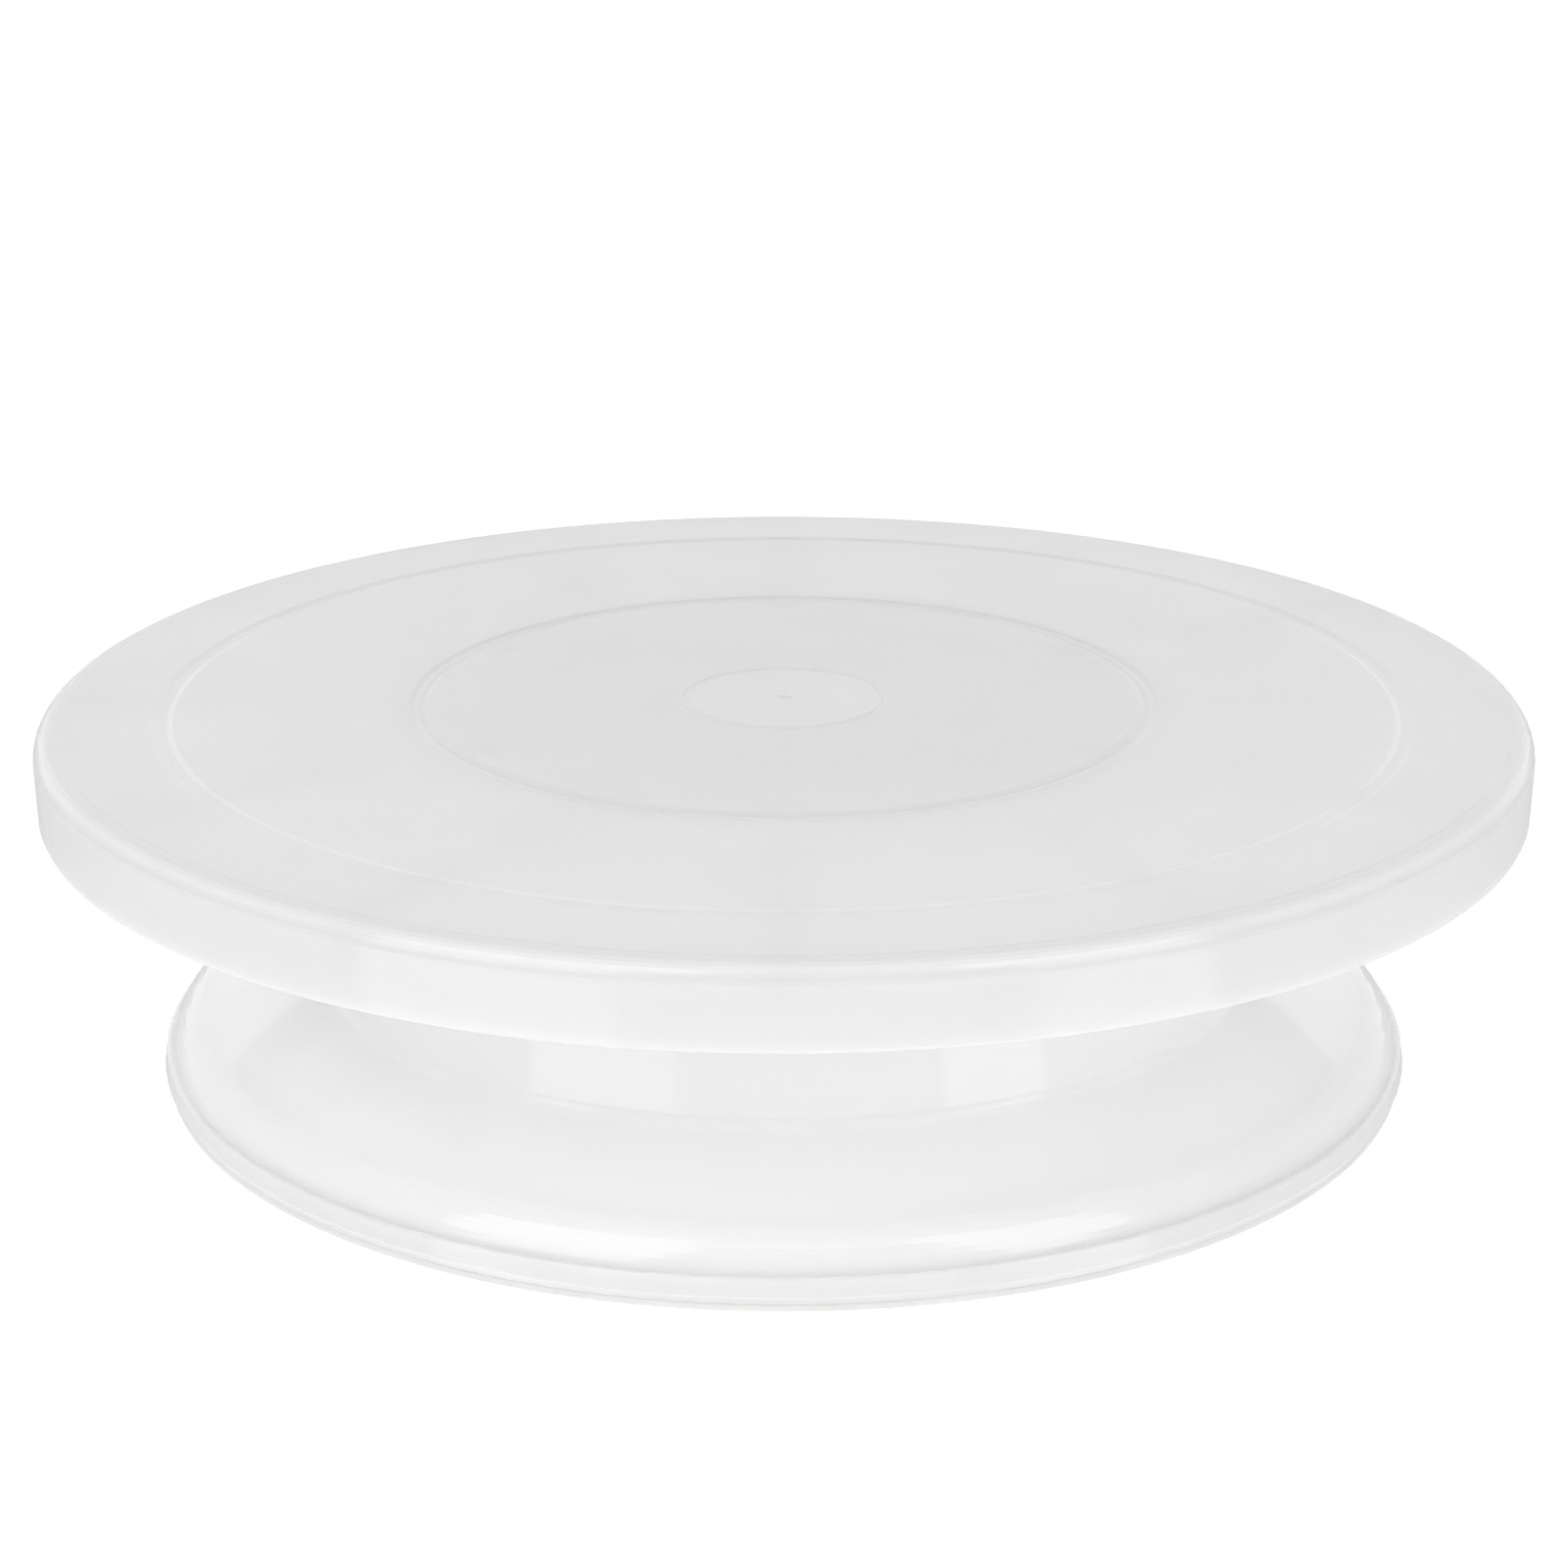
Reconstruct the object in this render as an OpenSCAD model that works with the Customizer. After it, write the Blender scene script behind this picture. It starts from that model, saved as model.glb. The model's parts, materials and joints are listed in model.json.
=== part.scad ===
// Cake turntable: a milky plastic plate that spins on a ring of caged balls over a bell-shaped base.
// Origin: centre of the footprint, on the surface it stands on. +Z is up. Millimetres.

/* [Plate] */
// Outside diameter of the plate
plate_d = 280; // [275:1:290]
// Height of the plate's top face above the table
top_z = 70; // [68:0.5:72]
// Depth of the plate's side wall, from the top face to its lower edge
skirt_h = 15; // [13:0.5:16]
// Thickness of the plate's top wall
plate_wall = 2.4; // [2.2:0.1:2.6]
// Radius of the rounded edge round the top face
edge_r = 4; // [3:0.5:6]
// Depth of the ring grooves in the top face
groove_depth = 0.35; // [0.2:0.05:0.5]
// Number of stiffening ribs under the plate, outside the bearing
rim_ribs = 12; // [8:1:16]

/* [Base] */
// Outside diameter of the base at its foot band
base_d = 238; // [234:1:240]
// Outside diameter of the neck where it leaves the bell
neck_d = 176; // [174:1:180]
// Wall thickness of the base
base_wall = 2.4; // [2.2:0.1:2.6]
// Number of stiffening ribs inside the neck
neck_ribs = 6; // [4:1:8]

/* [Bearing] */
// Diameter of the circle that the ball centres run on
pitch_d = 129; // [127:0.5:131]
// Diameter of one ball
ball_d = 8; // [8:0.1:8.2]
// Number of balls
balls = 6; // [4:1:8]
// Play between a ball and each track
ball_play = 0.02; // [0.01:0.01:0.05]
// Diameter of the spindle where it runs in the bushes
spindle_d = 10; // [9:0.5:10]
// Radial play between the spindle and its bushes
bush_play = 0.05; // [0.02:0.01:0.1]

/* [Hidden] */
$fn = 128;
ball_names = [for (i = [1:balls]) str("bearing_ball_", i)];

embed = 0.4;       // how far a rib or a boss runs into the wall that carries it
fit = 0.02;        // radial gap of a pressed-in piece

// Plate
plate_r = plate_d / 2;
under_z = top_z - plate_wall;
skirt_z = top_z - skirt_h;
skirt_wall = 2.4;
skirt_draft = 0.4;
rib_t = 1.8;
rib_z = under_z - 3.6;
boss_r = 19;
wall_t = 1.8;
inner_groove = [66.8, 70.8];
outer_groove = [114.2, 118.2];
groove_wall = 1.2;   // width of a groove's sloping side
disc_line = [18.3, 19.5];
gate_r = 1.5;        // mark where the plate was moulded from
gate_depth = 0.3;
rim_drop = 0.12;     // the rim lies this far below the top face

// Bearing stack, from the plate down to the deck of the base
track_pad_h = 1;
track_half_w = 5;
track_r = ball_d / 2 + 0.4;
track_depth = 0.42;
pitch_r = pitch_d / 2;
track_top_z = under_z - track_pad_h + track_depth;
ball_z = track_top_z - ball_play - ball_d / 2;
track_bottom_z = ball_z - ball_d / 2 - ball_play;
deck_z = track_bottom_z + track_depth - track_pad_h;
cage_half_w = 6;
cage_bottom_z = deck_z + track_pad_h + 0.3;
cage_top_z = ball_z + 1.2;
crumb_wall_r = pitch_r + cage_half_w + 2.1;
guard_wall_r = crumb_wall_r + 4;
hub_rib_z = cage_top_z + 0.6;

// Base
band_r = base_d / 2;
neck_r = neck_d / 2;
neck_top_r = neck_r - 3;
pad_z = 1.5;
lip_z = 2.6;
lip_in = 0.5;
band_top_z = 6.2;
band_draft = 0.5;
band_in = 1.4;       // the shoulder meets the band this far inside its outer face
shoulder = [band_r - 3.5, 11.9];
shoulder_r = 10;
neck_z = 20.2;
rim_in_r = band_r - 9;
channel = [band_r - 7, band_r - 3];
channel_z = 5;

// Hub, spindle and what holds it
spindle_r = spindle_d / 2;
spindle_end_z = 32;
boss_z = deck_z + 1.8;
hub_r = 12;
bush_r = 7.5;
bush_flange_r = 10.5;
bush_flange_t = 1.2;
bush_len = 10;
hub_z = 34.4;
collar_r = 22;
collar_wall = 2;
collar_z = 22;
washer_t = 1.5;
washer_r = 10;
spring_t = 1.3;
screw_r = 2.5;
screw_head_r = 4.75;
screw_head_t = 3.2;
screw_len = 14;

// Unit vector along v
function unit(v) = v / norm(v);

// Straight steps in a rounded corner of radius r
function arc_steps(r) = r < 1 ? 2 : r < 3.5 ? 4 : 8;

// The points of corner i of an outline, whose points are [radius, height, corner radius]
function corner(p, i) =
    let (
        n = len(p),
        at = [p[i].x, p[i].y],
        back = unit([p[(i + n - 1) % n].x, p[(i + n - 1) % n].y] - at),
        ahead = unit([p[(i + 1) % n].x, p[(i + 1) % n].y] - at),
        half = acos(back * ahead) / 2,
        centre = at + unit(back + ahead) * p[i].z / sin(half),
        first = at + back * p[i].z / tan(half) - centre,
        last = at + ahead * p[i].z / tan(half) - centre,
        from = atan2(first.y, first.x),
        turn = (atan2(last.y, last.x) - from + 540) % 360 - 180,
        steps = arc_steps(p[i].z)
    )
    p[i].z == 0 ? [at]
        : [for (k = [0:steps]) centre + p[i].z * [cos(from + turn * k / steps), sin(from + turn * k / steps)]];

// An outline with its corners rounded
function rounded(p) = [for (i = [0:len(p) - 1]) each corner(p, i)];

// A solid of revolution from an outline of [radius, height, corner radius] points
module lathe(p) {
    rotate_extrude() polygon(rounded(p));
}

// A plain ring between two radii and two heights
module ring(inner, outer, low, high) {
    rotate_extrude() translate([inner, low]) square([outer - inner, high - low]);
}

// A straight radial rib at angle a, from radius r0 to r1
module rib(a, r0, r1, low, high, thick) {
    rotate(a) translate([r0, -thick / 2, low]) cube([r1 - r0, thick, high - low]);
}

// One groove of the top face as outline points, between the two radii in r
function groove(r, depth) = [
    [r.x, top_z, 0.4], [r.x + groove_wall, top_z - depth, 0.4],
    [r.y - groove_wall, top_z - depth, 0.4], [r.y, top_z, 0.4]
];

module top_plate() {
    outline = concat(
        [[0, top_z - gate_depth, 0], [gate_r - 0.6, top_z - gate_depth, 0.2], [gate_r, top_z, 0.2]],
        [
            [disc_line.x, top_z, 0], [disc_line.x + 0.4, top_z - 0.2, 0],
            [disc_line.y - 0.4, top_z - 0.2, 0], [disc_line.y, top_z, 0]
        ],
        groove(inner_groove, groove_depth),
        groove(outer_groove, groove_depth),
        [
            [plate_r - edge_r - 0.8, top_z, 0], [plate_r - edge_r - 0.4, top_z - rim_drop, 0],
            [plate_r, top_z - rim_drop, edge_r],
            [plate_r - skirt_draft, skirt_z, 0.6],
            [plate_r - skirt_draft - skirt_wall + 0.4, skirt_z, 0.5],
            [plate_r - skirt_wall - 0.6, under_z, 2.4],
            [0, under_z, 0]
        ]
    );
    color([0.93, 0.93, 0.93])
    difference() {
        union() {
            lathe(outline);
            cylinder_between(boss_r, boss_z, under_z + embed);
            ring(pitch_r - track_half_w, pitch_r + track_half_w, under_z - track_pad_h, under_z + embed);
            // wall that keeps crumbs off the balls
            ring(crumb_wall_r, crumb_wall_r + wall_t, deck_z + 2, under_z + embed);
            for (i = [0:rim_ribs - 1])
                rib(i * 360 / rim_ribs, crumb_wall_r + 1, plate_r - skirt_wall - 0.2, rib_z, under_z + embed, rib_t);
            for (i = [0:balls - 1])
                rib(i * 360 / balls, boss_r - 1, pitch_r - track_half_w + embed, hub_rib_z, under_z + embed, rib_t);
        }
        cylinder_between(spindle_r + 1 + fit, boss_z - 1, under_z - 1);
        ball_track(track_top_z - track_r);
    }
}

// The torus that the balls' track is cut with
module ball_track(centre_z) {
    rotate_extrude() translate([pitch_r, centre_z]) circle(r = track_r);
}

// A cylinder on the axis between two heights
module cylinder_between(r, low, high) {
    translate([0, 0, low]) cylinder(r = r, h = high - low);
}

module ball_cage() {
    below = cage_bottom_z - 1;
    height = cage_top_z - cage_bottom_z + 2;
    color([0.95, 0.95, 0.93])
    difference() {
        lathe([
            [pitch_r - cage_half_w, cage_bottom_z, 0.5],
            [pitch_r + cage_half_w, cage_bottom_z, 0.5],
            [pitch_r + cage_half_w, cage_top_z, 0.5],
            [pitch_r - cage_half_w, cage_top_z, 0.5]
        ]);
        for (i = [0:balls - 1])
            rotate(ball_angle(i)) translate([pitch_r, 0, below]) cylinder(d = ball_d + 0.3, h = height);
        // lightening holes between the pockets
        for (i = [0:balls - 1], side = [-9, 0, 9])
            rotate(ball_angle(i + 0.5) + side) translate([pitch_r, 0, below]) cylinder(d = 5, h = height);
    }
}

// The angle of ball i, counted from 0
function ball_angle(i) = 30 + i * 360 / balls;

module bearing_ball(i) {
    color([0.8, 0.81, 0.83])
    rotate(ball_angle(i)) translate([pitch_r, 0, ball_z]) sphere(d = ball_d);
}

module spindle() {
    color([0.7, 0.71, 0.73])
    difference() {
        lathe([
            [0, spindle_end_z, 0],
            [spindle_r, spindle_end_z, 0.5],
            [spindle_r, boss_z + 0.2, 0],
            [spindle_r + 1, boss_z + 0.2, 0],
            [spindle_r + 1, under_z - 1.2, 0.6],
            [0, under_z - 1.2, 0]
        ]);
        cylinder_between(screw_r + fit, spindle_end_z - 1, spindle_end_z + screw_len);
    }
}

module plain_washer() {
    color([0.7, 0.71, 0.73])
    lathe([
        [screw_r + 0.2, spindle_end_z - washer_t, 0],
        [washer_r, spindle_end_z - washer_t, 0.3],
        [washer_r, spindle_end_z, 0.3],
        [screw_r + 0.2, spindle_end_z, 0]
    ]);
}

module spring_washer() {
    high = spindle_end_z - washer_t;
    color([0.55, 0.56, 0.58])
    difference() {
        ring(screw_r + 0.2, screw_head_r - 0.2, high - spring_t, high);
        translate([screw_r + 1.2, 0, high - spring_t / 2]) rotate([30, 0, 0])
            cube([4, 0.6, 3 * spring_t], center = true);
    }
}

module retaining_screw() {
    seat = spindle_end_z - washer_t - spring_t;
    color([0.75, 0.76, 0.78])
    difference() {
        lathe([
            [0, seat - screw_head_t, 0],
            [screw_head_r, seat - screw_head_t, 2],
            [screw_head_r, seat, 0.2],
            [screw_r, seat, 0],
            [screw_r, seat + screw_len, 0.6],
            [0, seat + screw_len, 0]
        ]);
        // cross recess
        for (a = [0, 90])
            rotate(a) translate([-2.6, -0.55, seat - screw_head_t - 1]) cube([5.2, 1.1, 2.9]);
    }
}

module base_shell() {
    outline = [
        [channel[1], pad_z, 0],
        [band_r - lip_in, pad_z, 0.2],
        [band_r - lip_in, lip_z, 0],
        [band_r, lip_z, 0.3],
        [band_r - band_draft, band_top_z, 0.4],
        [band_r - band_in, band_top_z + 0.1, 0],
        [shoulder.x, shoulder.y, shoulder_r],
        [neck_r, neck_z, 2.4],
        [neck_top_r, deck_z, 4],
        [bush_r + fit, deck_z, 0],
        [bush_r + fit, deck_z - base_wall, 0],
        [neck_top_r - base_wall, deck_z - base_wall, 0],
        [neck_r - base_wall, neck_z - 1.6, 0],
        [rim_in_r, shoulder.y - 0.9, 2],
        [rim_in_r, pad_z, 0],
        [channel[0], pad_z, 0],
        [channel[0], channel_z, 0],
        [channel[1], channel_z, 0]
    ];
    color([0.95, 0.95, 0.95])
    difference() {
        union() {
            lathe(outline);
            cylinder_between(hub_r, hub_z, deck_z);
            ring(collar_r - collar_wall, collar_r, collar_z, deck_z - base_wall + embed);
            ring(pitch_r - track_half_w, pitch_r + track_half_w, deck_z - embed, deck_z + track_pad_h);
            // guide wall inside the cage, and the wall outside the bearing
            ring(pitch_r - cage_half_w - 1.9, pitch_r - cage_half_w - 0.3, deck_z - embed, deck_z + 4);
            ring(guard_wall_r, guard_wall_r + wall_t, deck_z - embed, deck_z + 4);
            ring(pitch_r - 1, pitch_r + 1, deck_z - base_wall - 8, deck_z - base_wall + embed);
            for (i = [0:neck_ribs - 1]) rotate(i * 360 / neck_ribs) neck_rib();
        }
        cylinder_between(bush_r + fit, hub_z - 1, deck_z + 1);
        ball_track(track_bottom_z + track_r);
    }
}

// One rib under the deck, from the hub to the neck wall, deepest at the hub
module neck_rib() {
    top = deck_z - base_wall + embed;
    outer = neck_top_r - base_wall + 1;
    rotate([90, 0, 0]) linear_extrude(rib_t, center = true)
        polygon([[hub_r - 1, top], [outer, top], [outer, top - 9], [collar_r + 8, top - 16], [hub_r - 1, top - 16]]);
}

// A flanged plain bush: the sleeve starts at z = 0 and runs along dir, and the flange lies the other way
module bush(at, dir) {
    color([0.96, 0.95, 0.92])
    translate([0, 0, at]) mirror([0, 0, dir > 0 ? 0 : 1])
        lathe([
            [spindle_r + bush_play, -bush_flange_t, 0],
            [bush_flange_r, -bush_flange_t, 0.3],
            [bush_flange_r, 0, 0.2],
            [bush_r, 0, 0],
            [bush_r, bush_len, 0.4],
            [spindle_r + bush_play, bush_len, 0]
        ]);
}

module upper_bush() {
    bush(deck_z, -1);
}

module lower_bush() {
    bush(hub_z, 1);
}

module thrust_washer() {
    high = hub_z - bush_flange_t - 0.05;
    color([0.9, 0.9, 0.86])
    ring(spindle_r + 0.2, bush_flange_r, high - 1, high);
}

module hub_cap() {
    plug_r = collar_r - collar_wall - 0.1;
    color([0.94, 0.94, 0.94])
    difference() {
        lathe([
            [0, collar_z - 1.6, 0],
            [collar_r + 1.5, collar_z - 1.6, 0.8],
            [collar_r + 1.5, collar_z, 0.2],
            [plug_r, collar_z, 0],
            [plug_r, collar_z + 7, 0.5],
            [plug_r - 1.8, collar_z + 7, 0.5],
            [plug_r - 1.8, collar_z, 0],
            [0, collar_z, 0]
        ]);
        // slits that let the plug wall spring inwards
        for (i = [0:3])
            rotate(45 + i * 90) translate([plug_r - 4, -1, collar_z + 1]) cube([6, 2, 7]);
        // notch for a fingernail
        translate([collar_r + 2.5, 0, collar_z - 3]) cylinder(r = 3, h = 2.4);
    }
}

module anti_slip_ring() {
    color([0.9, 0.9, 0.9])
    lathe([
        [rim_in_r + 0.4, 0, 0.4],
        [band_r - 0.8, 0, 0.4],
        [band_r - 0.8, pad_z, 0.3],
        [channel[1] - 0.1, pad_z, 0],
        [channel[1] - 0.1, channel_z - 0.2, 0.5],
        [channel[0] + 0.1, channel_z - 0.2, 0.5],
        [channel[0] + 0.1, pad_z, 0],
        [rim_in_r + 0.4, pad_z, 0.3]
    ]);
}

top_plate();
spindle();
plain_washer();
spring_washer();
retaining_screw();
ball_cage();
for (i = [0:balls - 1]) bearing_ball(i);
base_shell();
upper_bush();
lower_bush();
thrust_washer();
hub_cap();
anti_slip_ring();
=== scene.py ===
"""Looks for the cake turntable: procedural materials, a studio and a camera. Metres, +Z up."""
import json
import math

import bpy
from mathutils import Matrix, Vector


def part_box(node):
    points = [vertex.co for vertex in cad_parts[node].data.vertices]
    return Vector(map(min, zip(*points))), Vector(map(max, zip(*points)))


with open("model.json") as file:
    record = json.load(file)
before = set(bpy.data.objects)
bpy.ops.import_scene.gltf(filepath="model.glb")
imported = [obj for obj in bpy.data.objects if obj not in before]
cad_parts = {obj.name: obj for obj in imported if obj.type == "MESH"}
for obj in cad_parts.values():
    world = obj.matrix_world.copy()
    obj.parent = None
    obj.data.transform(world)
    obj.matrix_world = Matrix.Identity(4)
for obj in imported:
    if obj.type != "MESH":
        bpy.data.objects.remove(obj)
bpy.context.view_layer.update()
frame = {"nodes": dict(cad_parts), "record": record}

MM = 0.001
TOP_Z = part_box("top_plate")[1].z
ball_low, ball_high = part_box("bearing_ball_1")
PITCH_R = ((ball_low + ball_high) / 2).xy.length      # circle that the ball centres run on
BALL_COUNT = sum(name.startswith("bearing_ball") for name in frame["nodes"])

# Radii on the top face
GATE_R = 1.2 * MM
DISC_R = 18.9 * MM
INNER_GROOVE_R = 68.8 * MM
OVER_NECK_R = 92 * MM     # where the base's neck below stops making a difference

# How far light goes in the milky plastic
WALL_DEPTH = 8 * MM
LIP_DEPTH = 3.5 * MM      # in the thin lip at the foot
TOP_DEPTH = 2.5 * MM      # in the top face
CRISP_DEPTH = 0.8 * MM    # in its lines and its gate mark
LIT_DEPTH = 4.5 * MM      # in the outer line, which the table lights from below

# The lines of the top face: radius, tone of the highlight painted along it, and how far light goes
TOP_LINES = (
    (DISC_R, 0.07, CRISP_DEPTH),
    (67.4 * MM, 0.12, CRISP_DEPTH),
    (69.3 * MM, 0.09, CRISP_DEPTH),
    (114.8 * MM, 0.1, LIT_DEPTH),
)


# ---------------------------------------------------------------- node helpers

class Nodes:
    """A material's node tree, with short calls that add a node and wire it up."""

    def __init__(self, name):
        self.material = bpy.data.materials.new(name)
        self.material.use_nodes = True
        self.tree = self.material.node_tree
        self.shader = self.tree.nodes["Principled BSDF"]

    def add(self, kind, inputs=None, **settings):
        node = self.tree.nodes.new(kind)
        for key, value in settings.items():
            setattr(node, key, value)
        for key, value in (inputs or {}).items():
            self.put(node.inputs[key], value)
        return node

    def put(self, socket, value):
        if isinstance(value, bpy.types.NodeSocket):
            self.tree.links.new(value, socket)
        else:
            socket.default_value = value

    def set(self, **values):
        """Sockets of the shader by name, with _ for a space."""
        for name, value in values.items():
            self.put(self.shader.inputs[name.replace("_", " ")], value)

    def math(self, operation, a, b=0.0, c=0.0):
        return self.add("ShaderNodeMath", {0: a, 1: b, 2: c}, operation=operation).outputs[0]

    def place(self):
        """The point in the part's own frame, so that a pattern turns with its part."""
        return self.add("ShaderNodeTexCoord").outputs["Object"]

    def axis(self, letter):
        return self.add("ShaderNodeSeparateXYZ", {0: self.place()}).outputs[letter]

    def radius(self):
        """Distance from the spin axis."""
        flat = self.add("ShaderNodeVectorMath", {0: self.place(), 1: (1, 1, 0)}, operation="MULTIPLY")
        return self.add("ShaderNodeVectorMath", {0: flat.outputs[0]}, operation="LENGTH").outputs["Value"]

    def stretched(self, x, y, z):
        return self.add("ShaderNodeMapping", {"Vector": self.place(), "Scale": (x, y, z)}).outputs[0]

    def noise(self, scale, detail=3.0, rough=0.5, place=None):
        node = self.add("ShaderNodeTexNoise", {"Vector": place or self.place(), "Scale": scale,
                                               "Detail": detail, "Roughness": rough})
        return node.outputs["Fac"]

    def span(self, value, low, high, to_low, to_high, smooth=False):
        kind = "SMOOTHSTEP" if smooth else "LINEAR"
        node = self.add("ShaderNodeMapRange", {"Value": value, "From Min": low, "From Max": high,
                                               "To Min": to_low, "To Max": to_high}, interpolation_type=kind)
        return node.outputs["Result"]

    def within(self, distance, reach, soft):
        """1 where distance is under reach, falling to 0 over soft."""
        return self.span(distance, reach - soft / 2, reach + soft / 2, 1.0, 0.0, smooth=True)

    def bump(self, height, distance, below=None):
        node = self.add("ShaderNodeBump", {"Height": height, "Distance": distance})
        if below is not None:
            self.put(node.inputs["Normal"], below)
        return node.outputs["Normal"]

    def tint(self, level, red=1.0, green=1.0, blue=1.0):
        """A colour of the given shares of red, green and blue, at the level that a socket or number gives."""
        parts = {name: self.math("MULTIPLY", level, share)
                 for name, share in (("Red", red), ("Green", green), ("Blue", blue))}
        return self.add("ShaderNodeCombineColor", parts).outputs["Color"]

    def specks(self, spacing, size, share):
        """1 on a few tiny inclusions in the plastic, else 0. Spacing and size are in metres."""
        node = self.add("ShaderNodeTexVoronoi", {"Vector": self.place(), "Scale": 1 / spacing})
        near = self.math("LESS_THAN", node.outputs["Distance"], size / spacing)
        pick = self.add("ShaderNodeSeparateColor", {0: node.outputs["Color"]}).outputs["Red"]
        return self.math("MULTIPLY", near, self.math("LESS_THAN", pick, share))


def milky(n, level, depth):
    """Milky polypropylene: light passes some way through it. Soft clouding and a few dark specks."""
    cloud = n.span(n.noise(26.0, 4.0, 0.55), 0.3, 0.7, 0.993, 1.007)
    flow = n.span(n.noise(5.0, 2.0), 0.35, 0.65, 0.997, 1.003)
    clean = n.math("SUBTRACT", 1.0, n.math("MULTIPLY", n.specks(30 * MM, 0.2 * MM, 0.05), 0.45))
    shade = n.math("MULTIPLY", n.math("MULTIPLY", cloud, flow), clean)
    n.set(Base_Color=n.tint(n.math("MULTIPLY", shade, level)))
    n.set(Subsurface_Weight=1.0, Subsurface_Radius=(1.0, 1.0, 0.97), Subsurface_Scale=depth, IOR=1.49)


# ---------------------------------------------------------------- materials, one for each slot of the record

def base_plastic():
    """Polished milky plastic: mirror-like, with a slight waviness left by the mould."""
    n = Nodes("milky_gloss_plastic")
    # light goes less far in the thin lip at the foot than in the wall above it
    lip_low, lip_high = 2.4 * MM, 3.2 * MM
    milky(n, 0.985, n.span(n.axis("Z"), lip_low, lip_high, LIP_DEPTH, WALL_DEPTH))
    n.set(Roughness=n.span(n.noise(45.0), 0.3, 0.7, 0.045, 0.07))
    waves = n.bump(n.noise(38.0, 2.0), 0.02 * MM)
    n.set(Normal=n.bump(n.noise(700.0, 2.0), 0.002 * MM, below=waves))
    return n.material


def over_balls(n, from_pitch, reach, soft):
    """1 over each ball at rest. The angle is folded into one sector, with the ball in its middle."""
    sector = 2 * math.pi / BALL_COUNT
    angle = n.math("ARCTAN2", n.axis("Y"), n.axis("X"))
    off = n.math("SUBTRACT", n.math("FLOORED_MODULO", angle, sector), sector / 2)
    along = n.math("MULTIPLY", off, PITCH_R)
    square = n.math("ADD", n.math("POWER", along, 2.0), n.math("POWER", from_pitch, 2.0))
    return n.within(n.math("SQRT", square), reach, soft)


def plate_plastic():
    """Satin top face with painted light and shade, among them painted shadows of the bearing that show
    through it, and a glossier edge.
    """
    n = Nodes("milky_satin_plastic")
    # painted shade: the side and the top are the same plastic, and the side is given a darker colour for the
    # stronger light that falls on it
    shaded_side_level, top_level = 0.68, 0.865
    r = n.radius()
    z = n.axis("Z")
    top = n.span(z, TOP_Z - 1.4 * MM, TOP_Z - 0.3 * MM, 0.0, 1.0, smooth=True)
    # painted light: the disc is painted lighter than the zone around it
    disc = n.within(r, DISC_R, 0.6 * MM)
    in_groove = n.within(r, INNER_GROOVE_R, 2 * MM)
    # painted light: the zone between the disc and the inner groove is painted lighter, to make up for the
    # table's light that the base keeps from it
    inner_painted_light = n.math("SUBTRACT", in_groove, disc)
    # the base keeps the table's light from the plate over the neck, and this tone makes up for it
    near_neck = n.span(r, INNER_GROOVE_R, OVER_NECK_R, 1.0, 0.0, smooth=True)
    over_neck = n.math("SUBTRACT", near_neck, in_groove)
    from_pitch = n.math("ABSOLUTE", n.math("SUBTRACT", r, PITCH_R))
    # painted shadows of the bearing under the plate: a faint ring over the track, and a spot over each ball
    # at rest
    track_shadow = n.within(from_pitch, 4.2 * MM, 3 * MM)
    ball_shadow = over_balls(n, from_pitch, 4 * MM, 5 * MM)
    # painted light: the gate mark is painted lighter
    gate = n.within(r, GATE_R, 0.4 * MM)
    painted_tones = [(disc, 0.1), (inner_painted_light, 0.045), (over_neck, 0.045), (track_shadow, -0.008), (ball_shadow, -0.02), (gate, 0.14)]
    depth = n.math("MULTIPLY_ADD", top, TOP_DEPTH - WALL_DEPTH, WALL_DEPTH)
    depth = n.math("MULTIPLY_ADD", n.math("MULTIPLY", gate, top), CRISP_DEPTH - TOP_DEPTH, depth)
    for line_r, tone, reach in TOP_LINES:
        # painted highlight: each line is painted lighter along its length
        line = n.within(n.math("ABSOLUTE", n.math("SUBTRACT", r, line_r)), 0.5 * MM, 0.4 * MM)
        painted_tones.append((line, tone))
        depth = n.math("MULTIPLY_ADD", n.math("MULTIPLY", line, top), reach - TOP_DEPTH, depth)
    level = n.span(z, TOP_Z - 2.6 * MM, TOP_Z - 0.8 * MM, shaded_side_level, top_level, smooth=True)
    # the painted light and shade go on the top face only
    for mask, tone in painted_tones:
        level = n.math("MULTIPLY_ADD", n.math("MULTIPLY", mask, top), tone, level)
    milky(n, level, depth)
    satin = n.span(n.noise(60.0), 0.3, 0.7, 0.29, 0.35)
    gloss = n.span(n.noise(60.0), 0.3, 0.7, 0.10, 0.14)
    edge = n.math("SUBTRACT", 1.0, top)
    n.set(Roughness=n.math("ADD", n.math("MULTIPLY", satin, top), n.math("MULTIPLY", gloss, edge)))
    n.set(Normal=n.bump(n.math("MULTIPLY", n.noise(2600.0, 2.0), top), 0.012 * MM))
    return n.material


def grip():
    """Soft matte elastomer, a little warmer than the shell."""
    n = Nodes("soft_elastomer")
    cloud = n.span(n.noise(90.0, 4.0), 0.3, 0.7, 0.70, 0.74)
    n.set(Base_Color=n.tint(cloud, 1.0, 0.998, 0.985), IOR=1.43)
    n.set(Subsurface_Weight=0.3, Subsurface_Radius=(1.0, 1.0, 0.97), Subsurface_Scale=1.5 * MM)
    n.set(Roughness=n.span(n.noise(300.0), 0.3, 0.7, 0.5, 0.62))
    n.set(Normal=n.bump(n.noise(1800.0, 3.0), 0.02 * MM))
    return n.material


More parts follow.
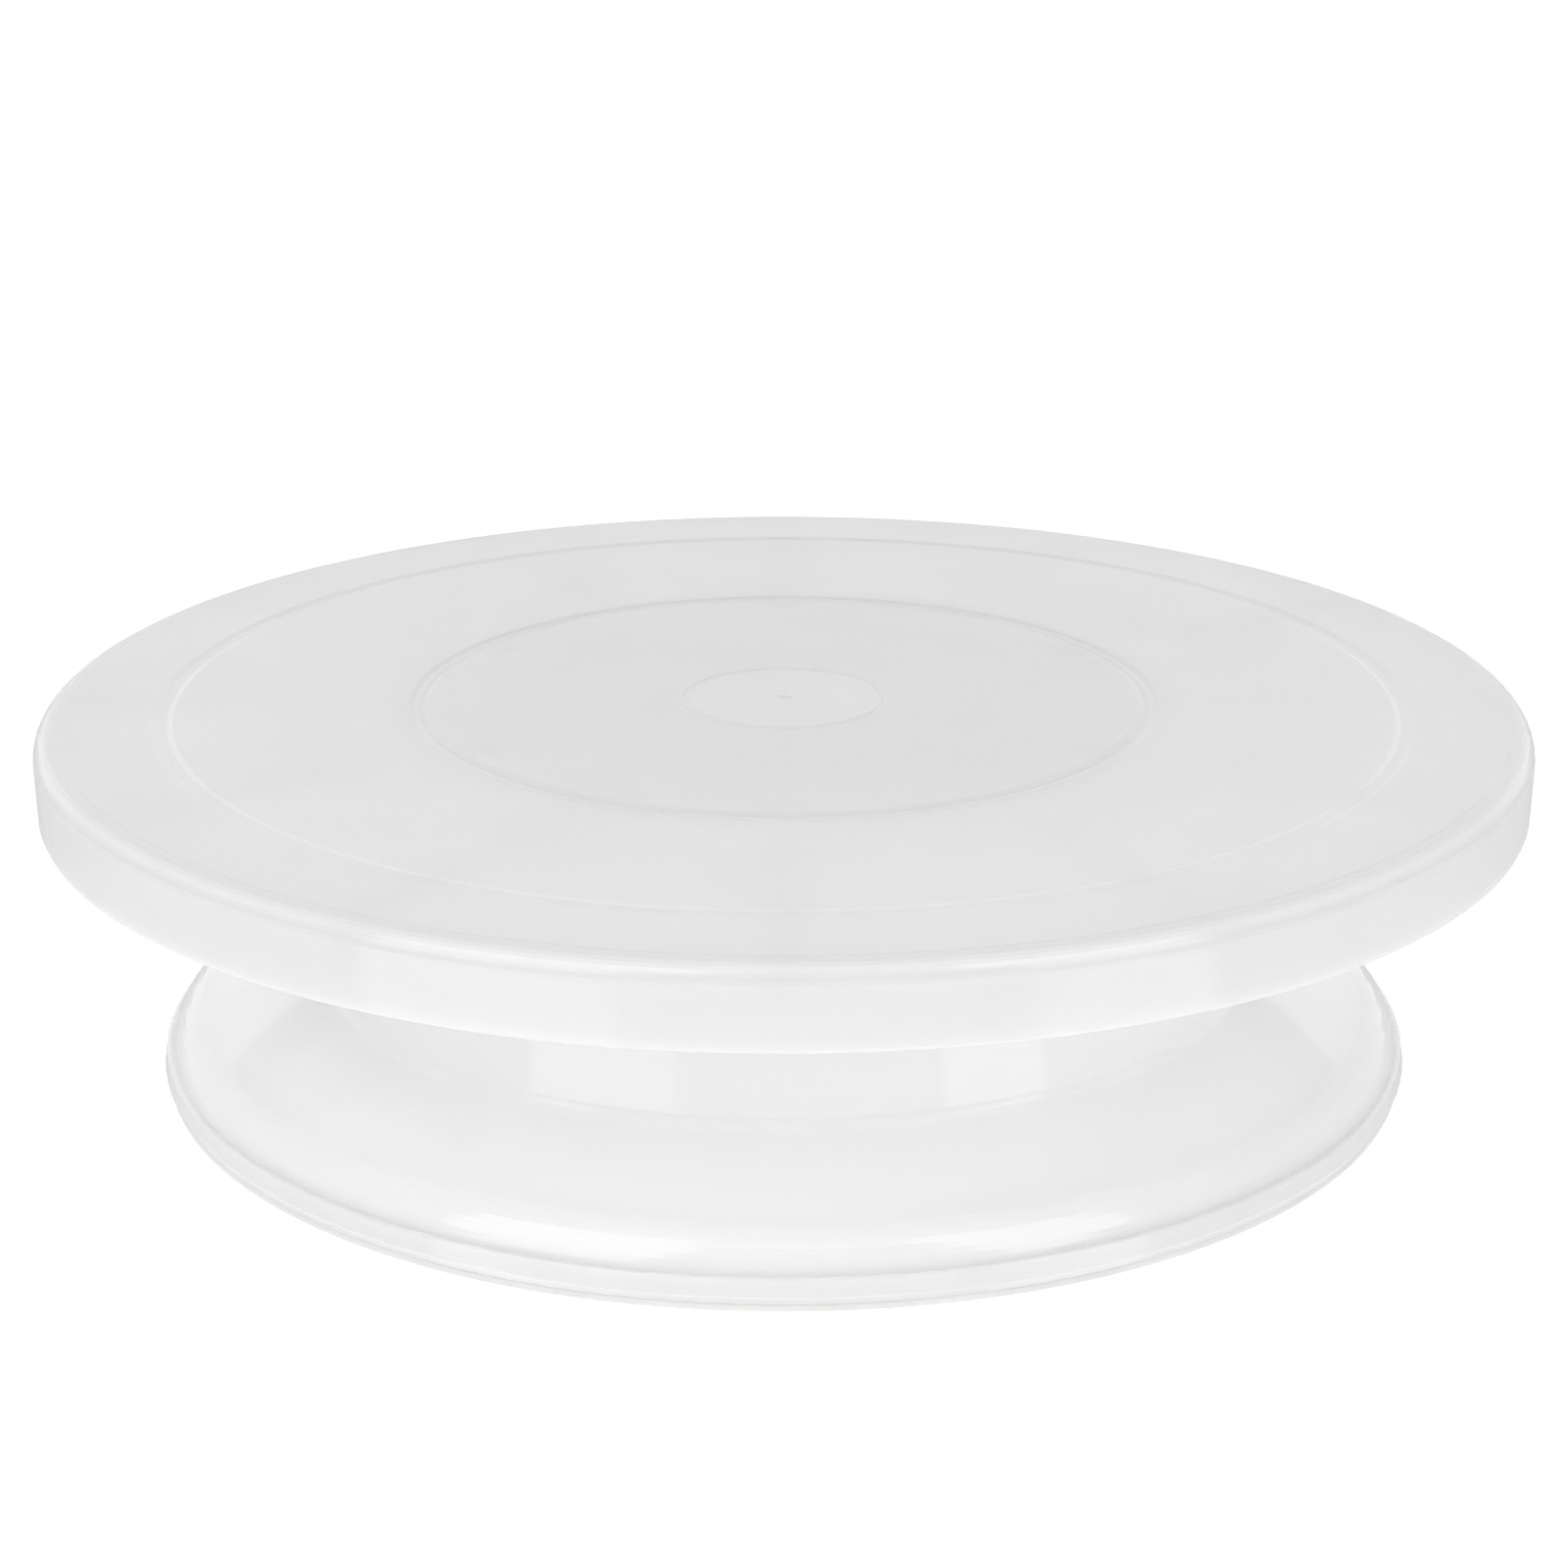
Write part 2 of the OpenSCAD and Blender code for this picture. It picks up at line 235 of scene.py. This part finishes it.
def acetal():
    """Natural acetal: slightly warm white, with fine turning marks round the axis."""
    n = Nodes("natural_acetal")
    n.set(Base_Color=n.tint(n.span(n.noise(40.0), 0.3, 0.7, 0.86, 0.9), 1.0, 0.985, 0.945), IOR=1.48)
    n.set(Subsurface_Weight=0.15, Subsurface_Radius=(1.0, 0.95, 0.85), Subsurface_Scale=1 * MM)
    n.set(Roughness=n.span(n.noise(120.0), 0.3, 0.7, 0.3, 0.4))
    marks = n.math("SINE", n.math("MULTIPLY", n.radius(), 2 * math.pi / (0.25 * MM)))
    n.set(Normal=n.bump(marks, 0.0015 * MM))
    return n.material


def steel(name, level, rough, texture, depth):
    """Bare metal with a surface texture of the given depth. The texture is a function of the node tree."""
    n = Nodes(name)
    n.set(Base_Color=n.tint(n.span(n.noise(70.0), 0.3, 0.7, level - 0.02, level + 0.02), 0.985, 0.993, 1.0))
    n.set(Metallic=1.0, Roughness=n.span(n.noise(240.0, 4.0), 0.3, 0.7, *rough))
    n.set(Normal=n.bump(texture(n), depth))
    return n.material


def polish(n):
    return n.noise(1500.0, 3.0)


def grinding(n):
    """Fine rings round a ground pin."""
    return n.noise(1.0, 4.0, 0.6, n.stretched(60.0, 60.0, 9000.0))


def plating(n):
    """The patchy crystals of bright zinc."""
    return n.add("ShaderNodeTexVoronoi", {"Vector": n.place(), "Scale": 900.0}).outputs["Distance"]


finish = {
    "plate_plastic": plate_plastic(),
    "base_plastic": base_plastic(),
    "grip": grip(),
    "acetal": acetal(),
    "ball_steel": steel("bearing_steel", 0.72, (0.04, 0.08), polish, 0.001 * MM),
    "pin_steel": steel("ground_steel", 0.62, (0.18, 0.26), grinding, 0.004 * MM),
    "zinc_steel": steel("bright_zinc", 0.68, (0.29, 0.4), plating, 0.01 * MM),
}
for subpart in frame["record"]["subparts"]:
    for place in frame["nodes"][subpart["node"]].material_slots:
        place.material = finish[subpart["material_slot"]]


# ---------------------------------------------------------------- studio

FLOOR_GLOW = 0.758        # what the floor gives off itself near the part, as a lit table does
BACKDROP_GLOW = 1.0       # and far from it
GLOW_FROM, GLOW_TO = 0.25, 0.8    # distances between which it goes from the one to the other
FRONT, BACK, SIDE = 0.5, 1.36, 0.49    # the surroundings, by direction
BELOW = 1.15              # the table in front of the part, as reflections see it
BELOW_BACK = 0.55         # share of that behind the part
SOFT = 1.87               # the two softboxes
TABLE = 1.11              # the same two as the glossy table mirrors them
FILL = 0.94               # soft fills that leave no reflection
FILL_LEFT = 1.4
FILL_RIGHT = 1.35
KEY_DISTANCE, FILL_DISTANCE = 1.6, 1.8
LIT_POINT = Vector((0, 0, 30 * MM))    # what the lights aim at
FLOOR_GAP = 0.1 * MM      # keeps the floor clear of the part's underside

paper = Nodes("studio_floor")
glow = paper.span(paper.radius(), GLOW_FROM, GLOW_TO, FLOOR_GLOW, BACKDROP_GLOW, smooth=True)
paper.set(Base_Color=(0.5, 0.5, 0.5, 1), Roughness=0.9, Emission_Color=(1, 1, 1, 1), Emission_Strength=glow)
bpy.ops.mesh.primitive_plane_add(size=30)
floor = bpy.context.object
floor.name = "floor"
floor.location.z = -FLOOR_GAP
floor.data.materials.append(paper.material)
floor.visible_glossy = False


def studio_world():
    """A surrounding light whose strength depends on its direction: the front is -Y.

    Below the horizon is the table as reflections see it, bright in front of the part and dark behind it."""
    world = bpy.data.worlds.new("studio")
    world.use_nodes = True
    tree = world.node_tree
    background = tree.nodes["Background"]
    background.inputs["Color"].default_value = (1, 1, 1, 1)

    def add(kind, operation, *values):
        node = tree.nodes.new(kind)
        node.operation = operation
        for socket, value in zip(node.inputs, values):
            if isinstance(value, bpy.types.NodeSocket):
                tree.links.new(value, socket)
            else:
                socket.default_value = value
        return node

    direction = tree.nodes.new("ShaderNodeTexCoord").outputs["Generated"]
    unit = add("ShaderNodeVectorMath", "NORMALIZE", direction).outputs[0]
    parts = tree.nodes.new("ShaderNodeSeparateXYZ")
    tree.links.new(unit, parts.inputs[0])
    total = 0.0
    for axis, sign, strength in (("Y", -1, FRONT), ("Y", 1, BACK), ("X", 1, SIDE), ("X", -1, SIDE)):
        facing = add("ShaderNodeMath", "MULTIPLY", parts.outputs[axis], sign).outputs[0]
        lit = add("ShaderNodeMath", "MAXIMUM", facing, 0.0).outputs[0]
        square = add("ShaderNodeMath", "POWER", lit, 2.0).outputs[0]
        total = add("ShaderNodeMath", "MULTIPLY_ADD", square, strength, total).outputs[0]
    slope = (BELOW_BACK - 1) / 2 * BELOW
    middle = (BELOW_BACK + 1) / 2 * BELOW
    table = add("ShaderNodeMath", "MULTIPLY_ADD", parts.outputs["Y"], slope, middle).outputs[0]
    under = add("ShaderNodeMath", "LESS_THAN", parts.outputs["Z"], 0.0).outputs[0]
    above = add("ShaderNodeMath", "SUBTRACT", 1.0, under).outputs[0]
    total = add("ShaderNodeMath", "MULTIPLY", total, above).outputs[0]
    total = add("ShaderNodeMath", "MULTIPLY_ADD", table, under, total).outputs[0]
    # what the camera itself sees past the floor is plain white
    seen = tree.nodes.new("ShaderNodeLightPath").outputs["Is Camera Ray"]
    white = add("ShaderNodeMath", "MAXIMUM", total, seen).outputs[0]
    tree.links.new(white, background.inputs["Strength"])
    bpy.context.scene.world = world


studio_world()


def softbox(name, azimuth, elevation, distance, width, height, radiance, diffuse=True, glossy=True):
    """A rectangular light that faces the part. Azimuth 0 is in front, and 90 is to the right."""
    turn, rise = math.radians(azimuth), math.radians(elevation)
    toward = Vector((math.sin(turn) * math.cos(rise), -math.cos(turn) * math.cos(rise), math.sin(rise)))
    data = bpy.data.lights.new(name, "AREA")
    data.shape = "RECTANGLE"
    data.size, data.size_y = width, height
    data.energy = radiance * math.pi * width * height
    lamp = bpy.data.objects.new(name, data)
    lamp.location = LIT_POINT + toward * distance
    lamp.rotation_euler = toward.to_track_quat("Z", "Y").to_euler()
    lamp.visible_diffuse = diffuse
    lamp.visible_glossy = glossy
    lamp.visible_camera = False
    bpy.context.scene.collection.objects.link(lamp)


for side, turn, size in (("left", -43, 1.05), ("right", 50, 0.75)):
    softbox(f"softbox_{side}", turn, 37, KEY_DISTANCE, size, 1.3, SOFT)
    softbox(f"table_{side}", turn, -32, KEY_DISTANCE, size, 1.2, TABLE, diffuse=False)
softbox("fill_front", 0, 26, FILL_DISTANCE, 1.2, 0.8, FILL, glossy=False)
softbox("fill_left", -60, 40, FILL_DISTANCE, 1.2, 0.35, FILL_LEFT, glossy=False)
softbox("fill_right", 60, 12, FILL_DISTANCE, 1.2, 0.35, FILL_RIGHT, glossy=False)


# ---------------------------------------------------------------- camera

CAMERA_DISTANCE = 0.7308
CAMERA_PITCH = math.radians(18.53)
SENSOR_MM, LENS_MM = 36, 88.1
aim_point = Vector((0, 0, TOP_Z - 17.25 * MM))
toward_camera = Vector((0, -math.cos(CAMERA_PITCH), math.sin(CAMERA_PITCH)))
camera = bpy.data.objects.new("camera", bpy.data.cameras.new("camera"))
camera.data.sensor_width = SENSOR_MM
camera.data.lens = LENS_MM
camera.location = aim_point + toward_camera * CAMERA_DISTANCE
camera.rotation_euler = (-toward_camera).to_track_quat("-Z", "Y").to_euler()
bpy.context.scene.collection.objects.link(camera)
bpy.context.scene.camera = camera

bpy.context.scene.view_settings.view_transform = "Standard"
